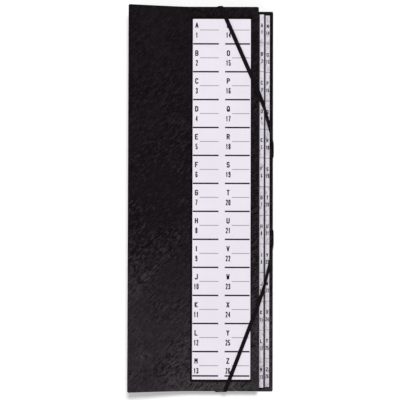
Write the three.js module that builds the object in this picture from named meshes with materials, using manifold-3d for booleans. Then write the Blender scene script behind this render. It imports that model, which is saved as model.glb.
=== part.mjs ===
// An alphabetical file sorter lying on its back cover: two boards joined by a pleated cloth spine that carries
// twenty-six card dividers with stepped tabs, an index sheet on the front, and an elastic across each corner.
import * as THREE from "three";
import { mergeVertices } from "three/addons/utils/BufferGeometryUtils.js";
import Module from "manifold-3d";

const wasm = await Module();
wasm.setup();

// Driving dimensions in millimetres. X runs from the spine to the fore edge, Y from the tail of the front cover
// to its head, and Z up from the outside of the back cover.
const coverHeight = 320;
const frontWidth = 108.1;
const frontBoard = 2.1;
const backBoard = 2;
const coverCorner = 1.2;
const backSlip = 1.7; // how far the back cover and leaves lie toward the tail

const panelWidth = 50.8;
const panelForeMargin = 5.9;
const panelHeadMargin = 8.3;
const panelTailMargin = 7.6;
const panelDepth = 0.8;
const panelCorner = 0.6;

const indexForeInset = 0.8; // from each edge of the panel to the index sheet
const indexSpineInset = 1.7;
const indexHeadInset = 1.9;
const indexTailInset = 2;
const indexThickness = 0.2;
const indexSeat = 0.02; // paste between the index sheet and the panel's floor

const letters = "abcdefghijklmnopqrstuvwxyz";
const tabColumns = 2;
const leafThickness = 0.25;
const leafHeadInset = 4.2; // in from the head edge of the back cover
const leafTailInset = 3.8;
const forePitch = 0.45;
const spinePitch = 0.97;
const fallLength = 50; // how far from the spine the stack sinks to its height at the fore edge
const fallPower = 1.2;
const fallSteps = 10;
const leastStep = 1;
const stackLift = 0.8; // room over the back cover for the tucked ends of the elastics
const coverGap = 0.4; // from the top of the stack to the inside of the front cover

const leafShow = 0.9; // how far the leaves reach past the front cover
const columnStep = 5.1;
const tabDepth = 3.4;
const backMargin = 3.3; // from the outermost tab to the back cover's edge
const tabCorner = 0.5;
const tabSpace = 0.1; // between one tab and the next along the fore edge
const tabRoot = 4; // how far a tab's card runs back under its leaf

const labelThickness = 0.08;
const labelFit = 0.02;
const labelInset = 0.1; // from the leaf's edge to the label
const labelShort = 0.15; // bare card at each end of a tab

const clothThickness = 0.2;
const pleatOuter = 0.9;
const pleatInner = 9;
const foldDepth = 0.4; // how deep the doubled cloth is at a fold
const tongueReach = 15;
const clothSeat = 0.02;
const leafSeat = 0.3; // from a pleat's fold to the leaf that it holds

const elasticWidth = 3.2;
const elasticThickness = 0.6;
const elasticFit = 0.1;
const elasticHeadInset = 31.8; // where it crosses the head, in from the front cover's fore edge
const elasticHeadDrop = 72; // where it crosses the fore edge, down from the head
const elasticTailInset = 27.8;
const elasticTailDrop = 72.6;
const elasticTuck = 20; // from the back cover's edge to the slit, along the band
const elasticEnd = 7; // the end that lies inside the back cover
const channelDepth = 0.75; // the dent that the band lies in, on the outside of the back cover
const channelFit = 0.8; // from the band to each side of the dent and of its slit

const cutOverrun = 1; // how far a cutting shape reaches past what it cuts
const arcSteps = 4;
const mergeDistance = 1e-4;

const black = 0x1d1b1c;
const finishes = {
  leather: { color: black, roughness: 0.55, metalness: 0 },
  card: { color: 0x17161a, roughness: 0.8, metalness: 0 },
  paper: { color: 0xece6f2, roughness: 0.75, metalness: 0 },
  cloth: { color: 0x141315, roughness: 0.9, metalness: 0 },
  elastic: { color: 0x101012, roughness: 0.85, metalness: 0 },
};

// Places that follow from the sizes.
const leafCount = letters.length;
const panelHeight = coverHeight - panelHeadMargin - panelTailMargin;
const indexWidth = panelWidth - indexForeInset - indexSpineInset;
const indexHeight = panelHeight - indexHeadInset - indexTailInset;
const leafHeight = coverHeight - leafHeadInset - leafTailInset;
const innerEdge = frontWidth + leafShow;
const outerEdge = innerEdge + (tabColumns - 1) * columnStep;
const backWidth = outerEdge + tabDepth + backMargin;
const tabsInColumn = Math.ceil(leafCount / tabColumns);
const backTail = -backSlip;
const backHead = coverHeight - backSlip;
const leafTail = backTail + leafTailInset;
const leafHead = leafTail + leafHeight;
const tabPitch = leafHeight / tabsInColumn;
const stackBase = backBoard + stackLift;
const leafStart = pleatInner + leafSeat;

// The stack is thicker at the spine than at the fore edge: its pitch eases from one to the other.
const pitchAt = (x) => forePitch + (spinePitch - forePitch) * Math.max(0, 1 - x / fallLength) ** fallPower;
const stackLevel = (x, place) => stackBase + place * pitchAt(x);
const frontUnder = (x) => stackLevel(x, leafCount) + coverGap;
const frontTop = stackLevel(fallLength, leafCount) + coverGap + frontBoard;
// Leaves are counted from the back cover up, so the first letter lies on top.
const leafLevel = (index, x) => stackLevel(x, leafCount - index - 0.5);
const falls = Array.from({ length: fallSteps }, (_, k) => (fallLength * (k + 1)) / fallSteps);
const fallStations = (from, to) => [from, ...falls.filter((x) => x > from + leastStep && x < to - leastStep), to];

// A closed outline in X and Z, drawn out along Y.
function alongY(points, yLow, yHigh) {
  const outline = new THREE.Shape(points.map(([x, z]) => new THREE.Vector2(x, z)));
  const solid = new THREE.ExtrudeGeometry(outline, { depth: yHigh - yLow, bevelEnabled: false });
  return solid.rotateX(Math.PI / 2).translate(0, yHigh, 0);
}

// A closed outline in X and Y, drawn up along Z.
function alongZ(outline, zLow, zHigh) {
  const solid = new THREE.ExtrudeGeometry(outline, {
    depth: zHigh - zLow,
    bevelEnabled: false,
    curveSegments: arcSteps,
  });
  return solid.translate(0, 0, zLow);
}

function roundedRectangle(xLow, xHigh, yLow, yHigh, radius) {
  const outline = new THREE.Shape();
  outline.absarc(xHigh - radius, yLow + radius, radius, -Math.PI / 2, 0);
  outline.absarc(xHigh - radius, yHigh - radius, radius, 0, Math.PI / 2);
  outline.absarc(xLow + radius, yHigh - radius, radius, Math.PI / 2, Math.PI);
  outline.absarc(xLow + radius, yLow + radius, radius, Math.PI, 1.5 * Math.PI);
  return outline;
}

// A bent sheet of even upright thickness over the stations in X.
function bentSheet(stations, underside, thickness, yLow, yHigh) {
  const below = stations.map((x) => [x, underside(x)]);
  const above = stations.map((x) => [x, underside(x) + thickness]).reverse();
  return alongY([...below, ...above], yLow, yHigh);
}

function toSolid(geometry) {
  const bare = geometry.clone();
  bare.deleteAttribute("normal");
  bare.deleteAttribute("uv");
  const closed = mergeVertices(bare, mergeDistance);
  return new wasm.Manifold(
    new wasm.Mesh({
      numProp: 3,
      vertProperties: closed.attributes.position.array,
      triVerts: Uint32Array.from(closed.index.array),
    }),
  );
}

function toGeometry(solid) {
  const mesh = solid.getMesh();
  const geometry = new THREE.BufferGeometry();
  geometry.setAttribute("position", new THREE.BufferAttribute(mesh.vertProperties, 3));
  geometry.setIndex(new THREE.BufferAttribute(mesh.triVerts, 1));
  geometry.computeVertexNormals();
  return geometry;
}

function piece(name, geometry, finish) {
  const mesh = new THREE.Mesh(geometry, new THREE.MeshStandardMaterial(finishes[finish]));
  mesh.name = name;
  return mesh;
}

const panelFore = frontWidth - panelForeMargin;
const panelFloor = frontTop - panelDepth;

function frontCover() {
  const sheet = bentSheet(fallStations(0, frontWidth), frontUnder, frontBoard, 0, coverHeight);
  const trim = roundedRectangle(0, frontWidth, 0, coverHeight, coverCorner);
  const spineTop = frontUnder(0) + frontBoard;
  const blank = toSolid(sheet).intersect(toSolid(alongZ(trim, 0, spineTop + cutOverrun)));
  const panel = roundedRectangle(
    panelFore - panelWidth,
    panelFore,
    panelTailMargin,
    panelTailMargin + panelHeight,
    panelCorner,
  );
  return toGeometry(blank.subtract(toSolid(alongZ(panel, panelFloor, spineTop + cutOverrun))));
}

function indexCard() {
  const fore = panelFore - indexForeInset;
  const tail = panelTailMargin + indexTailInset;
  const outline = roundedRectangle(fore - indexWidth, fore, tail, tail + indexHeight, panelCorner);
  const under = panelFloor + indexSeat;
  return alongZ(outline, under, under + indexThickness);
}

// A leaf's tab column and its step, counted down from the head.
const columnOf = (index) => Math.floor(index / tabsInColumn);
const tabHead = (index) => leafHead - (index % tabsInColumn) * tabPitch;
const leafEdge = (index) => innerEdge + columnOf(index) * columnStep;
const labelTop = (index) => leafLevel(index, fallLength) + leafThickness + labelFit + labelThickness;
const labelTip = (index) => leafEdge(index) + tabDepth + labelFit + labelThickness;

function divider(index) {
  const edge = leafEdge(index);
  const under = (x) => leafLevel(index, x);
  const sheet = bentSheet(fallStations(leafStart, edge), under, leafThickness, leafTail, leafHead);
  const head = tabHead(index) - tabSpace / 2;
  const outline = roundedRectangle(
    edge - tabRoot,
    edge + tabDepth,
    head - tabPitch + tabSpace,
    head,
    tabCorner,
  );
  const tab = alongZ(outline, under(edge), under(edge) + leafThickness);
  return toGeometry(toSolid(sheet).add(toSolid(tab)));
}

function tabLabel(index) {
  const start = leafEdge(index) + labelInset;
  const fold = leafEdge(index) + tabDepth + labelFit;
  const low = leafLevel(index, fallLength) - labelFit;
  const high = low + leafThickness + 2 * labelFit;
  const outline = [
    [start, low - labelThickness],
    [fold + labelThickness, low - labelThickness],
    [fold + labelThickness, high + labelThickness],
    [start, high + labelThickness],
    [start, high],
    [fold, high],
    [fold, low],
    [start, low],
  ];
  const head = tabHead(index) - labelShort;
  return alongY(outline, head - tabPitch + 2 * labelShort, head);
}

// The cloth runs in on the back cover, folds once round each leaf, and runs out again under the front cover.
function spineGusset() {
  const half = clothThickness / 2;
  const floor = backBoard + clothSeat + half;
  const outer = (x, fold) => [x, fold === 0 ? floor : stackLevel(x, fold)];
  const inner = (x, fold) => [x, stackLevel(x, fold + 0.5)];
  const tip = ([x, z]) => [
    [x, z - half],
    [x, z + half],
  ];
  const spineSide = [];
  const leafSide = [];
  for (let fold = 0; fold <= leafCount; fold += 1) {
    spineSide.push(...tip(outer(pleatOuter, fold)));
    leafSide.push(outer(pleatOuter + foldDepth, fold));
    if (fold === leafCount) break;
    spineSide.push(inner(pleatInner - foldDepth, fold));
    leafSide.push(...tip(inner(pleatInner, fold)));
  }
  const tongue = fallStations(pleatOuter, tongueReach).slice(1);
  const tongueSide = (rise) => tongue.map((x) => [x, stackLevel(x, leafCount) + rise]);
  const outline = [
    [tongueReach, floor - half],
    ...spineSide,
    ...tongueSide(half),
    ...tongueSide(-half).reverse(),
    ...leafSide.reverse(),
    [tongueReach, floor + half],
  ];
  return alongY(outline, leafTail, leafHead);
}

// The corners that a taut band touches, out of those it might, going outward and down.
function tautCorners(corners) {
  const touched = [];
  for (const next of corners) {
    while (touched.length > 1) {
      const [last, middle] = touched.slice(-2);
      const turn = (middle[0] - last[0]) * (next[1] - last[1]) - (middle[1] - last[1]) * (next[0] - last[0]);
      if (turn < 0) break;
      touched.pop();
    }
    touched.push(next);
  }
  return touched;
}

const foreCorners = tautCorners([
  [frontWidth, frontTop],
  [frontWidth, frontTop - frontBoard],
  ...Array.from({ length: tabColumns }, (_, k) => [labelTip(k * tabsInColumn), labelTop(k * tabsInColumn)]),
  [backWidth, backBoard],
  [backWidth, channelDepth],
]);

// An elastic across one corner. end is 1 at the head and -1 at the tail.
function elasticPlan(end) {
  const inset = end > 0 ? elasticHeadInset : elasticTailInset;
  const drop = end > 0 ? elasticHeadDrop : elasticTailDrop;
  const frontEnd = end > 0 ? coverHeight : 0;
  const backEnd = end > 0 ? backHead : backTail;
  const lean = inset / drop;
  const endCorners = tautCorners([
    [end * frontEnd, frontTop],
    [end * frontEnd, frontTop - frontBoard],
    [end * backEnd, backBoard],
    [end * backEnd, channelDepth],
  ]);
  const inward = new THREE.Vector3(-lean, -end, 0).normalize();
  let travelled = 0;
  const endPoints = endCorners.map(([out, z], k) => {
    if (k > 0) travelled += Math.hypot(out - endCorners[k - 1][0], z - endCorners[k - 1][1]);
    return new THREE.Vector3(frontWidth - inset - travelled * lean, end * out, z);
  });
  travelled = 0;
  const forePoints = foreCorners.map(([x, z], k) => {
    if (k > 0) travelled += Math.hypot(x - foreCorners[k - 1][0], z - foreCorners[k - 1][1]);
    return new THREE.Vector3(x, frontEnd - end * (drop + travelled / lean), z);
  });
  const slits = [endPoints.at(-1), forePoints.at(-1)].map((p) => p.clone().addScaledVector(inward, elasticTuck));
  return { inward, lean, endPoints, forePoints, slits };
}

// A flat band through its fold lines. Each fold has a place, the line it lies along and the band's width there.
function foldedBand(folds) {
  const normals = folds.slice(1).map((fold, k) => {
    const way = fold.place.clone().sub(folds[k].place);
    return new THREE.Vector3().crossVectors(way, folds[k].leftAfter).normalize();
  });
  const loops = folds.map((fold, k) => {
    const before = normals[Math.max(0, k - 1)];
    const after = normals[Math.min(normals.length - 1, k)];
    const rise = before
      .clone()
      .add(after)
      .divideScalar(1 + before.dot(after));
    const at = (side, height) =>
      fold.place
        .clone()
        .addScaledVector(fold.along, (side * fold.width) / 2)
        .addScaledVector(rise, height);
    const top = elasticFit + elasticThickness;
    return [at(1, top), at(-1, top), at(-1, elasticFit), at(1, elasticFit)];
  });
  const corners = loops.flat().flatMap((p) => p.toArray());
  const faces = [];
  const quad = (a, b, c, d) => faces.push(a, b, c, a, c, d);
  for (let k = 0; k + 1 < loops.length; k += 1) {
    for (let side = 0; side < 4; side += 1) {
      const next = (side + 1) % 4;
      quad(4 * k + side, 4 * k + next, 4 * k + 4 + next, 4 * k + 4 + side);
    }
  }
  const last = 4 * (loops.length - 1);
  quad(0, 3, 2, 1);
  quad(last, last + 1, last + 2, last + 3);
  const geometry = new THREE.BufferGeometry();
  geometry.setAttribute("position", new THREE.Float32BufferAttribute(corners, 3));
  geometry.setIndex(faces);
  geometry.computeVertexNormals();
  return geometry;
}

function cornerElastic(end) {
  const plan = elasticPlan(end);
  const stretch = Math.hypot(1, plan.lean);
  const across = new THREE.Vector3(-plan.inward.y, plan.inward.x, 0);
  const alongHead = new THREE.Vector3(end, 0, 0);
  const alongFore = new THREE.Vector3(0, 1, 0);
  const squareWidth = elasticWidth;
  const headWidth = elasticWidth * stretch;
  const foreWidth = (elasticWidth * stretch) / plan.lean;
  const fold = (place, along, width) => ({ place, along, width, leftAfter: along });
  const atBoard = (slit, z) => new THREE.Vector3(slit.x, slit.y, z);
  const endOf = (slit) => atBoard(slit, backBoard).addScaledVector(plan.inward, -elasticEnd);
  const [firstSlit, lastSlit] = plan.slits;
  return foldedBand([
    fold(endOf(firstSlit), across, squareWidth),
    fold(atBoard(firstSlit, backBoard), across, squareWidth),
    fold(firstSlit, across, squareWidth),
    ...[...plan.endPoints].reverse().map((p) => fold(p, alongHead, headWidth)),
    ...plan.forePoints.map((p) => fold(p, alongFore, foreWidth)),
    fold(lastSlit, across.clone().negate(), squareWidth),
    fold(atBoard(lastSlit, backBoard), across.clone().negate(), squareWidth),
    fold(endOf(lastSlit), across.clone().negate(), squareWidth),
  ]);
}

// A strip in plan, from one point to another and as wide as the band with its clearance.
function bandStrip(from, to) {
  const way = to.clone().sub(from).normalize();
  const side = new THREE.Vector3(-way.y, way.x, 0).multiplyScalar(elasticWidth / 2 + channelFit);
  const corners = [from.clone().add(side), from.clone().sub(side), to.clone().sub(side), to.clone().add(side)];
  return new THREE.Shape(corners.map((p) => new THREE.Vector2(p.x, p.y)));
}

function backCover() {
  let board = toSolid(alongZ(roundedRectangle(0, backWidth, backTail, backHead, coverCorner), 0, backBoard));
  for (const end of [1, -1]) {
    const plan = elasticPlan(end);
    [plan.endPoints.at(-1), plan.forePoints.at(-1)].forEach((edge, k) => {
      const slit = plan.slits[k];
      const past = slit.clone().addScaledVector(plan.inward, elasticThickness + 2 * elasticFit);
      const outside = edge.clone().addScaledVector(plan.inward, -elasticTuck);
      board = board.subtract(toSolid(alongZ(bandStrip(outside, past), -cutOverrun, channelDepth)));
      board = board.subtract(toSolid(alongZ(bandStrip(slit, past), -cutOverrun, backBoard + cutOverrun)));
    });
  }
  return toGeometry(board);
}

const sorter = new THREE.Group();

const frontHalf = new THREE.Group();
frontHalf.add(piece("front_cover", frontCover(), "leather"));
frontHalf.add(piece("index_card", indexCard(), "paper"));
sorter.add(frontHalf);

const backHalf = new THREE.Group();
backHalf.add(piece("back_cover", backCover(), "leather"));
backHalf.add(piece("spine_gusset", spineGusset(), "cloth"));
backHalf.add(piece("elastic_head", cornerElastic(1), "elastic"));
backHalf.add(piece("elastic_tail", cornerElastic(-1), "elastic"));
[...letters].forEach((letter, index) => {
  backHalf.add(piece(`divider_${letter}`, divider(index), "card"));
  backHalf.add(piece(`tab_label_${letter}`, tabLabel(index), "paper"));
});
sorter.add(backHalf);

// The origin is the middle of the underside of the whole.
const middle = new THREE.Box3().setFromObject(sorter).getCenter(new THREE.Vector3());
sorter.position.set(-middle.x, -middle.y, 0);

export default sorter;
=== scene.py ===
import math

import bmesh
import bpy
from mathutils import Matrix, Vector


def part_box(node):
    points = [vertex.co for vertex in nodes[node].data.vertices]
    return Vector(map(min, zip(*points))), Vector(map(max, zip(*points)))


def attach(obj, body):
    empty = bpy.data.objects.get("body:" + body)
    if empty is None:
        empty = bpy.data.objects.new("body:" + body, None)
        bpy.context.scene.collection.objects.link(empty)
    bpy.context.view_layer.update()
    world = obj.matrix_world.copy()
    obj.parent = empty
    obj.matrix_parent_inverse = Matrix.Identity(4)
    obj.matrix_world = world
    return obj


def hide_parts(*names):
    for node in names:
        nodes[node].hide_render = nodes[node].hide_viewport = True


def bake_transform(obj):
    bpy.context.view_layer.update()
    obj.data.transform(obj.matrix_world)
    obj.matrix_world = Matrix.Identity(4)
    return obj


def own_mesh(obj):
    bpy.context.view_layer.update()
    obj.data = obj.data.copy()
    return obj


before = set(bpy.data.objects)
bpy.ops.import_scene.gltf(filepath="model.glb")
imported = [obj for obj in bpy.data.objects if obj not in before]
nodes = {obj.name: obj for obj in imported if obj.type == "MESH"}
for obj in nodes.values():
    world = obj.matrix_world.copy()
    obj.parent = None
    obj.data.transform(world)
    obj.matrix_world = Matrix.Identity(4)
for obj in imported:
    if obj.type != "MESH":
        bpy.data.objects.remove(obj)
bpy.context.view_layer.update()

# The sorter lies on its back cover. Sizes below are in millimetres unless a note says otherwise.
mm = 0.001
letters = "abcdefghijklmnopqrstuvwxyz"
coverLow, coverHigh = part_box("front_cover")
cardLow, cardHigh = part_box("index_card")
black = (0, 0, 0, 1)
white = (1, 1, 1, 1)


# A screen colour, 0 to 255 a channel, as the linear colour that a shader takes.
def linear(red, green, blue):
    shares = [channel / 255 for channel in (red, green, blue)]
    return (*(s / 12.92 if s <= 0.04045 else ((s + 0.055) / 1.055) ** 2.4 for s in shares), 1)


cameraValues = {
    "lens": 128.7,
    "sensor": 36,
    "height": 1190,  # from the aim to the camera
    "aim": (-1.4, -0.55, 17),
    "tilt": 1.35,  # degrees, as is the roll; the tail end is nearer
    "roll": 0.15,
}


def addCamera(values):
    aim = Vector(values["aim"]) * mm
    tilt = math.radians(values["tilt"])
    roll = math.radians(values["roll"])
    away = Vector((0, -math.sin(tilt), math.cos(tilt)))
    up = Vector((-math.sin(roll), math.cos(roll), 0))
    right = up.cross(away).normalized()
    up = away.cross(right)
    data = bpy.data.cameras.new("camera")
    data.lens = values["lens"]
    data.sensor_width = values["sensor"]
    camera = bpy.data.objects.new("camera", data)
    bpy.context.scene.collection.objects.link(camera)
    turn = Matrix((right, up, away)).transposed().to_4x4()
    camera.matrix_world = Matrix.Translation(aim + away * values["height"] * mm) @ turn
    bpy.context.scene.camera = camera


addCamera(cameraValues)
print("camera placed")


def addNode(tree, kind, **settings):
    node = tree.nodes.new(kind)
    for name, value in settings.items():
        setattr(node, name, value)
    return node


def join(tree, source, target):
    tree.links.new(source, target)


def calculate(tree, operation, first, second=None):
    node = addNode(tree, "ShaderNodeMath", operation=operation)
    for socket, value in zip(node.inputs, (first, second)):
        if value is None:
            continue
        if isinstance(value, (int, float)):
            socket.default_value = value
        else:
            join(tree, value, socket)
    return node.outputs[0]


def times(tree, first, second):
    return calculate(tree, "MULTIPLY", first, second)


def plus(tree, first, second):
    return calculate(tree, "ADD", first, second)


def remap(tree, value, fromLow, fromHigh, toLow=0.0, toHigh=1.0, smooth=False):
    node = addNode(tree, "ShaderNodeMapRange")
    node.interpolation_type = "SMOOTHSTEP" if smooth else "LINEAR"
    join(tree, value, node.inputs["Value"])
    numbers = {"From Min": fromLow, "From Max": fromHigh, "To Min": toLow, "To Max": toHigh}
    for name, number in numbers.items():
        node.inputs[name].default_value = number
    return node.outputs["Result"]


def separated(tree, vector):
    node = addNode(tree, "ShaderNodeSeparateXYZ")
    join(tree, vector, node.inputs[0])
    return node.outputs


# Turns the coordinates about Z first, and scales them along their new axes after that.
def mapped(tree, vector, scale=(1, 1, 1), turn=0.0):
    for rotation, stretch in (((0, 0, turn), (1, 1, 1)), ((0, 0, 0), scale)):
        node = addNode(tree, "ShaderNodeMapping")
        node.inputs["Rotation"].default_value = rotation
        node.inputs["Scale"].default_value = stretch
        join(tree, vector, node.inputs["Vector"])
        vector = node.outputs["Vector"]
    return vector


def noise(tree, vector, scale, detail, rough=0.5, distortion=0.0):
    node = addNode(tree, "ShaderNodeTexNoise")
    join(tree, vector, node.inputs["Vector"])
    node.inputs["Scale"].default_value = scale
    node.inputs["Detail"].default_value = detail
    node.inputs["Roughness"].default_value = rough
    node.inputs["Distortion"].default_value = distortion
    return node.outputs


# Sockets 6 and 7 are the two colours that this node takes, and 2 is the one that it gives.
def blendColours(tree, factor, first, second):
    node = addNode(tree, "ShaderNodeMix", data_type="RGBA")
    join(tree, factor, node.inputs["Factor"])
    for socket, value in ((node.inputs[6], first), (node.inputs[7], second)):
        if isinstance(value, tuple):
            socket.default_value = value
        else:
            join(tree, value, socket)
    return node.outputs[2]


# A group takes Vector and the named numbers, and gives one number for each name in outputs.
def newGroup(name, outputs, inputs=()):
    tree = bpy.data.node_groups.new(name, "ShaderNodeTree")
    tree.interface.new_socket(name="Vector", in_out="INPUT", socket_type="NodeSocketVector")
    for side, labels in (("INPUT", inputs), ("OUTPUT", outputs)):
        for label in labels:
            tree.interface.new_socket(name=label, in_out=side, socket_type="NodeSocketFloat")
    return tree, tree.nodes.new("NodeGroupInput").outputs, tree.nodes.new("NodeGroupOutput").inputs


def useGroup(tree, group, vector, **values):
    node = addNode(tree, "ShaderNodeGroup")
    node.node_tree = group
    join(tree, vector, node.inputs["Vector"])
    for name, value in values.items():
        node.inputs[name].default_value = value
    return node.outputs


# Of the values below, a Noise is a scale, a detail, a roughness and a distortion. A Band is where a remap
# begins and ends, with its two results where they aren't 0 and 1. Textures are in metres, turns in radians.
grainValues = {
    "wanderNoise": (160, 2),
    "wanderReach": 0.0016,
    "pebbleScale": 820,
    "pebbleBand": (0.0, 0.22),
    "creaseTurns": (0.72, -0.86),
    "creaseScale": (130, 900, 130),
    "creaseNoise": (1.0, 2, 0.55, 0.3),
    "creaseBand": (0.48, 0.64),
    "patchNoise": (22, 2),  # where the creases are
    "patchBand": (0.42, 0.62),
    "wrinkleTurn": -0.75,
    "wrinkleScale": (250, 640, 250),
    "wrinkleNoise": (1.0, 3, 0.6, 0.7),
    "hollowBand": (0.5, 0.38),
    "ridgeBand": (0.52, 0.64),
    "wrinkledNoise": (30, 2),  # where the wrinkles are
    "wrinkledBand": (0.4, 0.58, 0.4, 1.0),
    "fineNoise": (3600, 2),
    "pebbleHeight": 0.6,
    "creaseHeight": 0.8,
    "ridgeHeight": 0.4,
    "hollowHeight": 0.6,
    "fineHeight": 0.12,
    "creaseTone": 0.7,
    "pebbleTone": 0.25,
}


# Embossed leather grain: small rounded pebbles, creases slanting both ways and wrinkles slanting one way.
def leatherGrainGroup(values):
    tree, given, out = newGroup("leatherGrain", ("Height", "Tone", "Hollow", "Ridge"))
    vector = given["Vector"]
    shifted = addNode(tree, "ShaderNodeVectorMath", operation="MULTIPLY_ADD")
    join(tree, noise(tree, vector, *values["wanderNoise"])["Color"], shifted.inputs[0])
    shifted.inputs[1].default_value = [values["wanderReach"]] * 3
    join(tree, vector, shifted.inputs[2])
    wandering = shifted.outputs[0]
    pebble = addNode(tree, "ShaderNodeTexVoronoi", feature="DISTANCE_TO_EDGE")
    join(tree, wandering, pebble.inputs["Vector"])
    pebble.inputs["Scale"].default_value = values["pebbleScale"]
    pebbles = remap(tree, pebble.outputs["Distance"], *values["pebbleBand"], smooth=True)
    creases = []
    for turn in values["creaseTurns"]:
        slanted = mapped(tree, wandering, values["creaseScale"], turn)
        streak = noise(tree, slanted, *values["creaseNoise"])["Fac"]
        creases.append(remap(tree, streak, *values["creaseBand"], smooth=True))
    patches = noise(tree, vector, *values["patchNoise"])["Fac"]
    patches = remap(tree, patches, *values["patchBand"], smooth=True)
    crease = times(tree, calculate(tree, "MAXIMUM", *creases), patches)
    slanted = mapped(tree, wandering, values["wrinkleScale"], values["wrinkleTurn"])
    wrinkle = noise(tree, slanted, *values["wrinkleNoise"])["Fac"]
    wrinkled = noise(tree, vector, *values["wrinkledNoise"])["Fac"]
    wrinkled = remap(tree, wrinkled, *values["wrinkledBand"], smooth=True)
    hollow = times(tree, remap(tree, wrinkle, *values["hollowBand"]), wrinkled)
    ridge = times(tree, remap(tree, wrinkle, *values["ridgeBand"]), wrinkled)
    join(tree, hollow, out["Hollow"])
    join(tree, ridge, out["Ridge"])
    fine = noise(tree, vector, *values["fineNoise"])["Fac"]
    height = times(tree, pebbles, values["pebbleHeight"])
    height = calculate(tree, "SUBTRACT", height, times(tree, crease, values["creaseHeight"]))
    height = plus(tree, height, times(tree, ridge, values["ridgeHeight"]))
    height = calculate(tree, "SUBTRACT", height, times(tree, hollow, values["hollowHeight"]))
    join(tree, plus(tree, height, times(tree, fine, values["fineHeight"])), out["Height"])
    tone = times(tree, crease, values["creaseTone"])
    join(tree, plus(tree, tone, times(tree, pebbles, values["pebbleTone"])), out["Tone"])
    return tree


fibreValues = {
    "turns": (0.35, -0.9),
    "scale": (2600, 900, 2600),
    "fibreNoise": (1.0, 3, 0.6, 0.6),
    "toneBand": (0.35, 0.65),
    "cloudNoise": (35, 3),
    "cloudBand": (0.3, 0.7),
}


# Paper and card: a cloudy sheet with fine fibres.
def fibreGroup(values):
    tree, given, out = newGroup("paperFibre", ("Height", "Tone", "Cloud"))
    vector = given["Vector"]
    fibres = []
    for turn in values["turns"]:
        fibres.append(noise(tree, mapped(tree, vector, values["scale"], turn), *values["fibreNoise"])["Fac"])
    height = times(tree, plus(tree, *fibres), 1 / len(fibres))
    join(tree, height, out["Height"])
    join(tree, remap(tree, height, *values["toneBand"]), out["Tone"])
    cloud = noise(tree, vector, *values["cloudNoise"])["Fac"]
    join(tree, remap(tree, cloud, *values["cloudBand"]), out["Cloud"])
    return tree


weaveValues = {
    "unevenNoise": (900, 2),
    "heightBand": (0.2, 0.8, 0.7, 1.0),
    "toneBand": (0.3, 0.7, 0.6, 1.0),
}


# Two crossing sets of threads. Across and Along are the threads a metre in X and in Y.
def weaveGroup(values):
    tree, given, out = newGroup("threadWeave", ("Height", "Tone"), ("Across", "Along"))
    axes = separated(tree, given["Vector"])
    waves = []
    for axis, threads in (("X", "Across"), ("Y", "Along")):
        turns = times(tree, axes[axis], given[threads])
        waves.append(remap(tree, calculate(tree, "SINE", times(tree, turns, 2 * math.pi)), -1, 1))
    uneven = noise(tree, given["Vector"], *values["unevenNoise"])["Fac"]
    height = times(tree, calculate(tree, "MAXIMUM", *waves), remap(tree, uneven, *values["heightBand"]))
    join(tree, height, out["Height"])
    join(tree, times(tree, height, remap(tree, uneven, *values["toneBand"])), out["Tone"])
    return tree


leatherGrain = leatherGrainGroup(grainValues)
paperFibre = fibreGroup(fibreValues)
threadWeave = weaveGroup(weaveValues)


def startMaterial(name, values):
    material = bpy.data.materials.new(name)
    material.use_nodes = True
    tree = material.node_tree
    shader = tree.nodes["Principled BSDF"]
    shader.inputs["Roughness"].default_value = values["roughness"]
    shader.inputs["Specular IOR Level"].default_value = values["specular"]
    place = addNode(tree, "ShaderNodeTexCoord").outputs["Object"]
    return material, tree, shader, place


def bump(tree, shader, height, depth):
    node = addNode(tree, "ShaderNodeBump")
    node.inputs["Distance"].default_value = depth
    join(tree, height, node.inputs["Height"])
    join(tree, node.outputs["Normal"], shader.inputs["Normal"])


# Rows and Columns are in metres along Y and X. The painted panel shade begins and ends in millimetres from
# the index sheet.
leatherValues = {
    # painted sheen: toward the tail the cover is lightened from the head colour to the tail colour, standing
    # in for a broad reflection
    "headColour": linear(9, 4, 8),
    "tailSheenColour": linear(45, 39, 43),
    "footColour": linear(45, 45, 43),  # along the tail edge
    # painted sheen on the grain: creases, pebbles and wrinkle ridges are lightened toward this colour
    "grainSheenColour": linear(84, 76, 82),
    "roughness": 0.5,
    "specular": 0.06,
    "grainDepth": 0.0003,
    "sheenRows": (-0.01, -0.155),  # painted sheen: the lower part is lighter, as a broad reflection would make it
    "cloudNoise": (14, 4, 0.55),
    "cloudBand": (0.3, 0.7, 0.55, 1.15),
    "barColumns": (0.036, 0.042),  # beyond the index sheet
    "barSheenShares": (1.0, 0.72),  # of the painted sheen
    "footRows": (-0.148, -0.154),
    "footColumns": (-0.03, 0.0),
    "creaseSheenShares": (0.12, 0.78),  # at the head and at the tail, following the painted sheen
    # painted shade in the wrinkle hollows
    "hollowShadeShare": 0.9,
    "ridgeHighlightRows": (0.12, -0.1),
    "ridgeHighlightShares": (0.08, 0.36),  # painted highlight on the wrinkle ridges, at the head and at the tail
    "panelShadeShare": 0.85,  # painted shade on the sunk panel's floor
    "panelShadeBelow": (-0.3, -0.1),
    "panelShadeAbove": (0.2, 0.1),
    "panelShadeLeft": (-3.0, -2.5),
    "panelShadeRight": (2.0, 1.5),
    "foldScale": (420, 60, 60),
    "foldNoise": (1.0, 2, 0.5, 0.4),
    "foldBand": (0.45, 0.7),
    "foldHeight": 1.4,
    "roughBand": (0.0, 0.7),
    "roughShifts": (0.14, -0.05),
}


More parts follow.
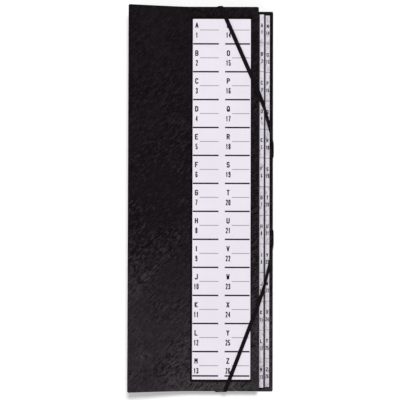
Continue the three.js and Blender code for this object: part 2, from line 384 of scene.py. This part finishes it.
def leatherMaterial(values):
    material, tree, shader, place = startMaterial("coverLeather", values)
    axes = separated(tree, place)
    # painted sheen, lighter toward the tail, weaker on the bar beyond the index sheet and uneven in clouds
    paintedSheen = remap(tree, axes["Y"], *values["sheenRows"], smooth=True)
    paintedSheen = times(tree, paintedSheen, remap(tree, axes["X"], *values["barColumns"], *values["barSheenShares"]))
    cloud = noise(tree, place, *values["cloudNoise"])["Fac"]
    uneven = times(tree, paintedSheen, remap(tree, cloud, *values["cloudBand"]))
    colour = blendColours(tree, uneven, values["headColour"], values["tailSheenColour"])
    foot = remap(tree, axes["Y"], *values["footRows"], smooth=True)
    foot = times(tree, foot, remap(tree, axes["X"], *values["footColumns"], smooth=True))
    colour = blendColours(tree, foot, colour, values["footColour"])
    grain = useGroup(tree, leatherGrain, place)
    # the grain's creases and pebbles are lightened: a little of it is their own tone, most of it painted
    # sheen that grows toward the tail
    crease = times(tree, grain["Tone"], remap(tree, paintedSheen, 0, 1, *values["creaseSheenShares"]))
    colour = blendColours(tree, crease, colour, values["grainSheenColour"])
    # painted shade: the wrinkle hollows are darkened toward black
    colour = blendColours(tree, times(tree, grain["Hollow"], values["hollowShadeShare"]), colour, black)
    # painted highlight: the wrinkle ridges are lightened, more toward the tail
    ridge = times(tree, grain["Ridge"], remap(tree, axes["Y"], *values["ridgeHighlightRows"], *values["ridgeHighlightShares"]))
    colour = blendColours(tree, ridge, colour, values["grainSheenColour"])
    # painted shade: the floor of the sunk panel is darkened where it shows around the index sheet, standing
    # in for the shadow of the panel's walls
    panelShade = values["panelShadeShare"]
    for axis, edge, band in (
        ("Z", cardLow.z, "panelShadeBelow"),
        ("Z", cardLow.z, "panelShadeAbove"),
        ("X", cardLow.x, "panelShadeLeft"),
        ("X", cardHigh.x, "panelShadeRight"),
    ):
        outer, inner = (edge + reach * mm for reach in values[band])
        panelShade = times(tree, remap(tree, axes[axis], outer, inner), panelShade)
    colour = blendColours(tree, panelShade, colour, black)
    join(tree, colour, shader.inputs["Base Color"])
    # short upright folds where the covering is turned in at the tail
    folds = noise(tree, mapped(tree, place, values["foldScale"]), *values["foldNoise"])["Fac"]
    folds = times(tree, remap(tree, folds, *values["foldBand"], smooth=True), foot)
    height = plus(tree, grain["Height"], times(tree, folds, values["foldHeight"]))
    bump(tree, shader, height, values["grainDepth"])
    rough = [values["roughness"] + shift for shift in values["roughShifts"]]
    join(tree, remap(tree, grain["Height"], *values["roughBand"], *rough), shader.inputs["Roughness"])
    return material


paperValues = {
    "sheet": linear(235, 229, 239),
    "shade": linear(226, 220, 231),
    "roughness": 0.62,
    "specular": 0.3,
    "cloudShare": 0.5,
    "toneShare": 0.4,
    "fibreDepth": 0.00002,
}


# The labels are greyer than the index sheet, and smudged.
tabPaperValues = {
    **paperValues,
    "sheet": linear(226, 220, 230),
    "shade": linear(212, 207, 217),
    "smudge": linear(140, 134, 142),
    "smudgeScale": (500, 260, 500),
    "smudgeNoise": (1.0, 4, 0.6),
    "smudgeBand": (0.47, 0.72, 0.0, 0.8),
}


def paperMaterial(name, values):
    material, tree, shader, place = startMaterial(name, values)
    fibre = useGroup(tree, paperFibre, place)
    cloud = times(tree, fibre["Cloud"], values["cloudShare"])
    mix = plus(tree, cloud, times(tree, fibre["Tone"], values["toneShare"]))
    colour = blendColours(tree, mix, values["sheet"], values["shade"])
    if "smudge" in values:
        marks = noise(tree, mapped(tree, place, values["smudgeScale"]), *values["smudgeNoise"])["Fac"]
        marks = remap(tree, marks, *values["smudgeBand"], smooth=True)
        colour = blendColours(tree, marks, colour, values["smudge"])
    join(tree, colour, shader.inputs["Base Color"])
    bump(tree, shader, fibre["Height"], values["fibreDepth"])
    return material


cardValues = {
    "colour": linear(16, 15, 17),
    "fibreColour": linear(38, 36, 39),
    "roughness": 0.72,
    "specular": 0.3,
    "fibreShares": (0.25, 0.6),
    "fibreDepth": 0.00004,
}


def cardMaterial(values):
    material, tree, shader, place = startMaterial("dividerCard", values)
    fibre = useGroup(tree, paperFibre, place)
    mix = times(tree, fibre["Tone"], remap(tree, fibre["Cloud"], 0, 1, *values["fibreShares"]))
    join(tree, blendColours(tree, mix, values["colour"], values["fibreColour"]), shader.inputs["Base Color"])
    bump(tree, shader, fibre["Height"], values["fibreDepth"])
    return material


def weaveInto(tree, shader, vector, values):
    weave = useGroup(tree, threadWeave, vector, Across=values["across"], Along=values["along"])
    colour = blendColours(tree, weave["Tone"], values["colour"], values["threadColour"])
    join(tree, colour, shader.inputs["Base Color"])
    bump(tree, shader, weave["Height"], values["threadDepth"])


clothValues = {
    "colour": linear(22, 20, 23),
    "threadColour": linear(56, 53, 57),
    "roughness": 0.8,
    "specular": 0.25,
    "threadDepth": 0.00006,
    "across": 2200,  # threads a metre
    "along": 2200,
}


# The cloth runs up the spine as well as across, so its threads follow Y, and X and Z together.
def clothMaterial(values):
    material, tree, shader, place = startMaterial("spineCloth", values)
    axes = separated(tree, place)
    flat = addNode(tree, "ShaderNodeCombineXYZ")
    join(tree, plus(tree, axes["X"], axes["Z"]), flat.inputs["X"])
    join(tree, axes["Y"], flat.inputs["Y"])
    weaveInto(tree, shader, flat.outputs[0], values)
    return material


elasticValues = {
    "colour": linear(4, 3, 5),
    "threadColour": linear(24, 22, 26),
    "roughness": 0.7,
    "specular": 0.04,
    "threadDepth": 0.00012,
    "across": 1600,  # cords a metre across the band, and picks along it
    "along": 1100,
}


def elasticMaterial(name, values, turn):
    material, tree, shader, place = startMaterial(name, values)
    weaveInto(tree, shader, mapped(tree, place, turn=turn), values)
    return material


inkValues = {
    "black": linear(12, 10, 17),
    "grey": linear(146, 138, 152),
    "roughness": 0.6,
    "specular": 0.1,
    "patchNoise": (1500, 3),
    "patchBand": (0.4, 0.75),
    "palerTimes": 1.35,
    "palerPlus": 0.01,
}


def inkMaterial(kind, values):
    material, tree, shader, place = startMaterial(kind + "Ink", values)
    patch = remap(tree, noise(tree, place, *values["patchNoise"])["Fac"], *values["patchBand"])
    colour = values[kind]
    paler = (*(min(1, c * values["palerTimes"] + values["palerPlus"]) for c in colour[:3]), 1)
    join(tree, blendColours(tree, patch, colour, paler), shader.inputs["Base Color"])
    return material


coverLeather = leatherMaterial(leatherValues)
indexPaper = paperMaterial("indexPaper", paperValues)
tabPaper = paperMaterial("tabPaper", tabPaperValues)
dividerCard = cardMaterial(cardValues)
spineCloth = clothMaterial(clothValues)
blackInk = inkMaterial("black", inkValues)
greyInk = inkMaterial("grey", inkValues)
print("materials made")


def dress(node, material):
    mesh = nodes[node].data
    mesh.materials.clear()
    mesh.materials.append(material)


for letter in letters:
    dress(f"divider_{letter}", dividerCard)
    dress(f"tab_label_{letter}", tabPaper)
dress("index_card", indexPaper)
dress("spine_gusset", spineCloth)
print("leaves, labels and spine dressed")


def finishMesh(mesh, name, material, smoothAngle=35):
    for polygon in mesh.polygons:
        polygon.use_smooth = True
    mesh.set_sharp_from_angle(angle=math.radians(smoothAngle))
    mesh.materials.clear()
    mesh.materials.append(material)
    piece = bpy.data.objects.new(name, mesh)
    bpy.context.scene.collection.objects.link(piece)
    return piece


softenValues = {
    "weldReach": 1e-6,  # metres
    "flatAngle": 0.4,  # degrees
    "profile": 0.5,
}


# A copy of a node with its sharp edges rounded over, as where a covering is wrapped round a board.
def softened(node, name, values, material):
    mesh = nodes[node].data.copy()
    mesh.name = name
    bm = bmesh.new()
    bm.from_mesh(mesh)
    bmesh.ops.remove_doubles(bm, verts=bm.verts, dist=softenValues["weldReach"])
    flat = math.radians(softenValues["flatAngle"])
    bmesh.ops.dissolve_limit(bm, angle_limit=flat, verts=bm.verts, edges=bm.edges)
    sharp = math.radians(values["sharpAngle"])
    bmesh.ops.bevel(
        bm,
        geom=[e for e in bm.edges if len(e.link_faces) == 2 and e.calc_face_angle() > sharp],
        offset=values["radius"] * mm,
        offset_type="OFFSET",
        segments=values["segments"],
        profile=softenValues["profile"],
        affect="EDGES",
        clamp_overlap=True,
        material=-1,
    )
    bmesh.ops.triangulate(bm, faces=bm.faces)
    bm.to_mesh(mesh)
    bm.free()
    return finishMesh(mesh, name, material)


coverValues = {"radius": 0.55, "segments": 4, "sharpAngle": 25}
for node, body in (("front_cover", "front_half"), ("back_cover", "back_half")):
    wrapped = softened(node, f"{node}_wrapped", coverValues, coverLeather)
    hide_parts(node)
    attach(wrapped, body)
print("covers wrapped")


bandValues = {
    "radius": 0.2,
    "segments": 3,
    "sharpAngle": 8,
    "headLean": (31.8, 72.0),  # in from the fore edge, and down from the head
    "tailLean": (27.8, -72.6),
    "slackLevel": 0.0,  # where the bands lie once they are slipped behind the back cover
    "slackShare": 0.02,
}
for node, lean in (("elastic_head", "headLean"), ("elastic_tail", "tailLean")):
    inset, drop = bandValues[lean]
    turn = -math.atan2(inset, drop)
    bandMaterial = elasticMaterial(f"{node}Braid", elasticValues, -turn)
    band = softened(node, f"{node}_band", bandValues, bandMaterial)
    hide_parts(node)
    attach(band, "back_half")
    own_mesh(band)
print("elastics made")


# A strip of cloth pasted under the front cover along the spine.
hingeValues = {
    "start": 0.5,  # from the spine edge
    "reach": 14.5,
    "inset": 3.5,  # from the head and tail of the leaves
    "under": 0.03,  # below the cover
    "thickness": 0.13,
    "columns": 42,
    "rows": 24,
    "bendFrom": 0.4,
    "bendTo": 3.4,
    "drop": 2.1,  # from the front cover's top to the axis of the hinge
    "smoothAngle": 60,
}


# The front cover's inner face, as places in X with their levels, read from its own corners. Beyond the index
# sheet's spine edge, places whose corners are all on the outer side are left out.
def coverStations():
    lowest = {}
    for vertex in nodes["front_cover"].data.vertices:
        place = round(vertex.co.x / mm, 2)
        lowest[place] = min(lowest.get(place, 1), vertex.co.z)
    return [(p, lowest[p]) for p in sorted(lowest) if lowest[p] < cardLow.z - mm or p < cardLow.x / mm]


def coverUnder(stations, x):
    for (near, nearLevel), (far, farLevel) in zip(stations, stations[1:]):
        if near <= x / mm <= far:
            share = (x / mm - near) / (far - near)
            return nearLevel * (1 - share) + farLevel * share
    return stations[0][1]


def hingeCloth(values):
    gussetLow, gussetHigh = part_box("spine_gusset")
    bm = bmesh.new()
    bmesh.ops.create_grid(bm, x_segments=values["columns"], y_segments=values["rows"], size=0.5)
    width = values["reach"] - values["start"]
    length = (gussetHigh.y - gussetLow.y) / mm - 2 * values["inset"]
    bmesh.ops.scale(bm, vec=(width * mm, length * mm, 1), verts=bm.verts)
    middle = Vector((coverLow.x + (values["start"] + width / 2) * mm, (gussetLow.y + gussetHigh.y) / 2, 0))
    bmesh.ops.translate(bm, vec=middle, verts=bm.verts)
    stations = coverStations()
    for vertex in bm.verts:
        vertex.co.z = coverUnder(stations, vertex.co.x) - (values["under"] + values["thickness"]) * mm
    bmesh.ops.solidify(bm, geom=bm.faces[:], thickness=-values["thickness"] * mm)
    bmesh.ops.recalc_face_normals(bm, faces=bm.faces)
    mesh = bpy.data.meshes.new("hinge_cloth")
    bm.to_mesh(mesh)
    bm.free()
    strip = finishMesh(mesh, "hinge_cloth", spineCloth, values["smoothAngle"])
    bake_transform(strip)


hingeCloth(hingeValues)
print("hinge cloth laid")


# Each character as straight strokes between points. The first figure is 0 to 4 across, the second 0 to 6 up.
strokes = {
    "A": "00 26 40|12 32",
    "B": "00 06 36 45 44 33 03|33 42 41 30 00",
    "C": "45 36 16 05 01 10 30 41",
    "D": "00 06 26 45 41 20 00",
    "E": "46 06 00 40|03 33",
    "F": "46 06 00|03 33",
    "G": "45 36 16 05 01 10 30 41 43 23",
    "H": "00 06|40 46|03 43",
    "I": "20 26",
    "J": "46 41 30 10 01",
    "K": "00 06|46 03 40",
    "L": "06 00 40",
    "M": "00 06 23 46 40",
    "N": "00 06 40 46",
    "O": "10 01 05 16 36 45 41 30 10",
    "P": "00 06 36 45 44 33 03",
    "Q": "10 01 05 16 36 45 41 30 10|22 40",
    "R": "00 06 36 45 44 33 03|23 40",
    "S": "45 36 16 05 04 13 33 42 41 30 10 01",
    "T": "06 46|26 20",
    "U": "06 01 10 30 41 46",
    "V": "06 20 46",
    "W": "06 10 24 30 46",
    "X": "00 46|06 40",
    "Y": "06 23 46|23 20",
    "Z": "06 46 00 40",
    "0": "10 01 05 16 36 45 41 30 10",
    "1": "14 26 20",
    "2": "05 16 36 45 44 00 40",
    "3": "05 16 36 45 44 33 42 41 30 10 01|33 13",
    "4": "30 36 02 42",
    "5": "46 06 03 33 42 41 30 10 01",
    "6": "45 36 16 05 01 10 30 41 42 33 03",
    "7": "06 46 10",
    "8": "13 04 05 16 36 45 44 33 13 02 01 10 30 41 42 33",
    "9": "01 10 30 41 45 36 16 05 04 13 43",
}
printValues = {
    "across": 4,  # the highest figures in the strokes
    "up": 6,
    "runOn": 0.6,  # of a stroke's weight
    "gap": 0.45,  # between characters, of a stroke's weight
    "weldReach": 1e-7,  # metres
}


def flatBar(bm, xLow, xHigh, yMid, width, zLow, zHigh):
    size = (xHigh - xLow, width, zHigh - zLow)
    middle = Vector(((xLow + xHigh) / 2, yMid, (zLow + zHigh) / 2))
    place = Matrix.Translation(middle) @ Matrix.Diagonal((*size, 1))
    bmesh.ops.create_cube(bm, size=1, matrix=place)


# Adds one straight stroke to bm, run on a little at both ends so that corners close.
def addStroke(bm, start, end, weight, thickness):
    along = end - start
    size = (along.length + weight * printValues["runOn"], weight, thickness)
    turn = Matrix.Rotation(math.atan2(along.y, along.x), 4, "Z")
    place = Matrix.Translation((start + end) / 2) @ turn @ Matrix.Diagonal((*size, 1))
    bmesh.ops.create_cube(bm, size=1, matrix=place)


# Adds a word to bm, centred on a point. Width and height are one character's, from edge to edge.
def addWord(bm, word, middle, width, height, weight, thickness):
    for place, character in enumerate(word):
        shift = (place - (len(word) - 1) / 2) * (width + weight * printValues["gap"])
        for line in strokes[character].split("|"):
            points = []
            for point in line.split():
                across = (int(point[0]) / printValues["across"] - 0.5) * (width - weight) + shift
                up = (int(point[1]) / printValues["up"] - 0.5) * (height - weight)
                points.append(middle + Vector((across, up, 0)))
            for start, end in zip(points, points[1:]):
                addStroke(bm, start, end, weight, thickness)


def printedPiece(bm, name, material, body):
    bmesh.ops.remove_doubles(bm, verts=bm.verts, dist=printValues["weldReach"])
    mesh = bpy.data.meshes.new(name)
    bm.to_mesh(mesh)
    bm.free()
    piece = finishMesh(mesh, name, material)
    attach(piece, body)


indexValues = {
    "rows": 13,
    "pitch": 23.3,
    "firstLine": 20.8,  # from the sheet's head to the first bold line
    "lastLine": 2.95,  # from the sheet's tail to the last one
    "boldWidth": 1.28,
    "thinWidth": 0.62,
    "thinAbove": 11.63,  # from a bold line to the thin one in its row
    "boldSpans": ((0.2, 21.7), (26.95, 47.7)),  # from the sheet's spine edge, as are the next two
    "thinSpans": ((5.9, 21.7), (32.75, 47.4)),
    "letterAcross": (3.3, 29.65),
    "letterAbove": 15.55,  # from a bold line to a letter's middle
    "numberAbove": 7.4,
    "height": 4.8,
    "letterWidth": 2.75,
    "numberWidth": 1.8,
    "letterWeight": 0.96,
    "numberWeight": 0.8,
    "ink": 0.03,
    "sunk": 0.01,
}


def indexPrint(values):
    bold = bmesh.new()
    thin = bmesh.new()
    base = cardHigh.z - values["sunk"] * mm
    top = base + values["ink"] * mm
    left = cardLow.x
    for row in range(values["rows"]):
        line = cardHigh.y - (values["firstLine"] + row * values["pitch"]) * mm
        level = line
        if row == values["rows"] - 1:
            level = cardLow.y + values["lastLine"] * mm
        for column in range(2):
            low, high = values["boldSpans"][column]
            flatBar(bold, left + low * mm, left + high * mm, level, values["boldWidth"] * mm, base, top)
            low, high = values["thinSpans"][column]
            above = line + values["thinAbove"] * mm
            flatBar(thin, left + low * mm, left + high * mm, above, values["thinWidth"] * mm, base, top)
            place = row + column * values["rows"]
            across = left + values["letterAcross"][column] * mm
            for word, kind in ((letters[place].upper(), "letter"), (str(place + 1), "number")):
                middle = Vector((across, line + values[kind + "Above"] * mm, (base + top) / 2))
                width = values[kind + "Width"] * mm
                weight = values[kind + "Weight"] * mm
                addWord(bold, word, middle, width, values["height"] * mm, weight, top - base)
    printedPiece(bold, "index_print", blackInk, "front_half")
    printedPiece(thin, "index_rules", greyInk, "front_half")


indexPrint(indexValues)
print("index printed")


tabValues = {
    "letterDown": 9.0,  # from the tab's head to a letter's middle
    "numberDown": 14.9,
    "height": 3.3,
    "letterWidth": 1.85,
    "numberWidth": 1.25,
    "letterWeight": 0.64,
    "numberWeight": 0.54,
    "ink": 0.03,
    "sunk": 0.01,
}


def tabPrint(values):
    bm = bmesh.new()
    for place, letter in enumerate(letters):
        low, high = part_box(f"tab_label_{letter}")
        base = high.z - values["sunk"] * mm
        across = (low.x + high.x) / 2
        for word, kind in ((letter.upper(), "letter"), (str(place + 1), "number")):
            middle = Vector((across, high.y - values[kind + "Down"] * mm, base + values["ink"] * mm / 2))
            width = values[kind + "Width"] * mm
            weight = values[kind + "Weight"] * mm
            addWord(bm, word, middle, width, values["height"] * mm, weight, values["ink"] * mm)
    printedPiece(bm, "tab_print", blackInk, "back_half")


tabPrint(tabValues)
print("tabs printed")


studioValues = {
    "floorSize": 6.0,  # metres, as are the places and sizes below
    "floorColour": (0.9, 0.9, 0.9, 1),
    "roughness": 1,
    "specular": 0,
    "floorGlow": 0.2,
    "farBand": (0.35, 1.3, 0, 0.5),  # more glow further out, so that the floor stays white to its edge
    "keyPlace": (0.08, 0.56, 2.4),
    "keySize": 0.4,
    "keyPower": 43,
    "fillPlace": (-0.35, -0.9, 1.1),
    "fillSize": 0.8,
    "fillPower": 4.6,
    "skyLevel": 0.17,
}


# 1 where the camera sees a surface, straight or in a reflection, and 0 where it only lights the sorter.
def seenDirectly(tree):
    path = addNode(tree, "ShaderNodeLightPath")
    seen = calculate(tree, "MAXIMUM", path.outputs["Is Camera Ray"], path.outputs["Is Glossy Ray"])
    return calculate(tree, "MAXIMUM", seen, path.outputs["Is Transmission Ray"])


def addFloor(values):
    bm = bmesh.new()
    bmesh.ops.create_grid(bm, x_segments=1, y_segments=1, size=values["floorSize"] / 2)
    mesh = bpy.data.meshes.new("floor")
    bm.to_mesh(mesh)
    bm.free()
    floor = bpy.data.objects.new("floor", mesh)
    bpy.context.scene.collection.objects.link(floor)
    material, tree, shader, place = startMaterial("studioFloor", values)
    shader.inputs["Base Color"].default_value = values["floorColour"]
    shader.inputs["Emission Color"].default_value = white
    distance = addNode(tree, "ShaderNodeVectorMath", operation="LENGTH")
    join(tree, place, distance.inputs[0])
    far = remap(tree, distance.outputs["Value"], *values["farBand"], smooth=True)
    glow = plus(tree, far, values["floorGlow"])
    join(tree, times(tree, seenDirectly(tree), glow), shader.inputs["Emission Strength"])
    mesh.materials.append(material)


def addLamp(name, place, size, power):
    data = bpy.data.lights.new(name, "AREA")
    data.shape = "SQUARE"
    data.size = size
    data.energy = power
    lamp = bpy.data.objects.new(name, data)
    bpy.context.scene.collection.objects.link(lamp)
    lamp.location = place
    lamp.rotation_euler = (-Vector(place)).to_track_quat("-Z", "Y").to_euler()


def addWorld(values):
    world = bpy.data.worlds.new("studio")
    bpy.context.scene.world = world
    world.use_nodes = True
    tree = world.node_tree
    sky = tree.nodes["Background"]
    sky.inputs["Color"].default_value = white
    level = times(tree, seenDirectly(tree), 1 - values["skyLevel"])
    join(tree, plus(tree, level, values["skyLevel"]), sky.inputs["Strength"])


addFloor(studioValues)
for lamp in ("key", "fill"):
    addLamp(lamp, *(studioValues[lamp + part] for part in ("Place", "Size", "Power")))
addWorld(studioValues)
bpy.context.scene.view_settings.view_transform = "Standard"
print("studio lit")
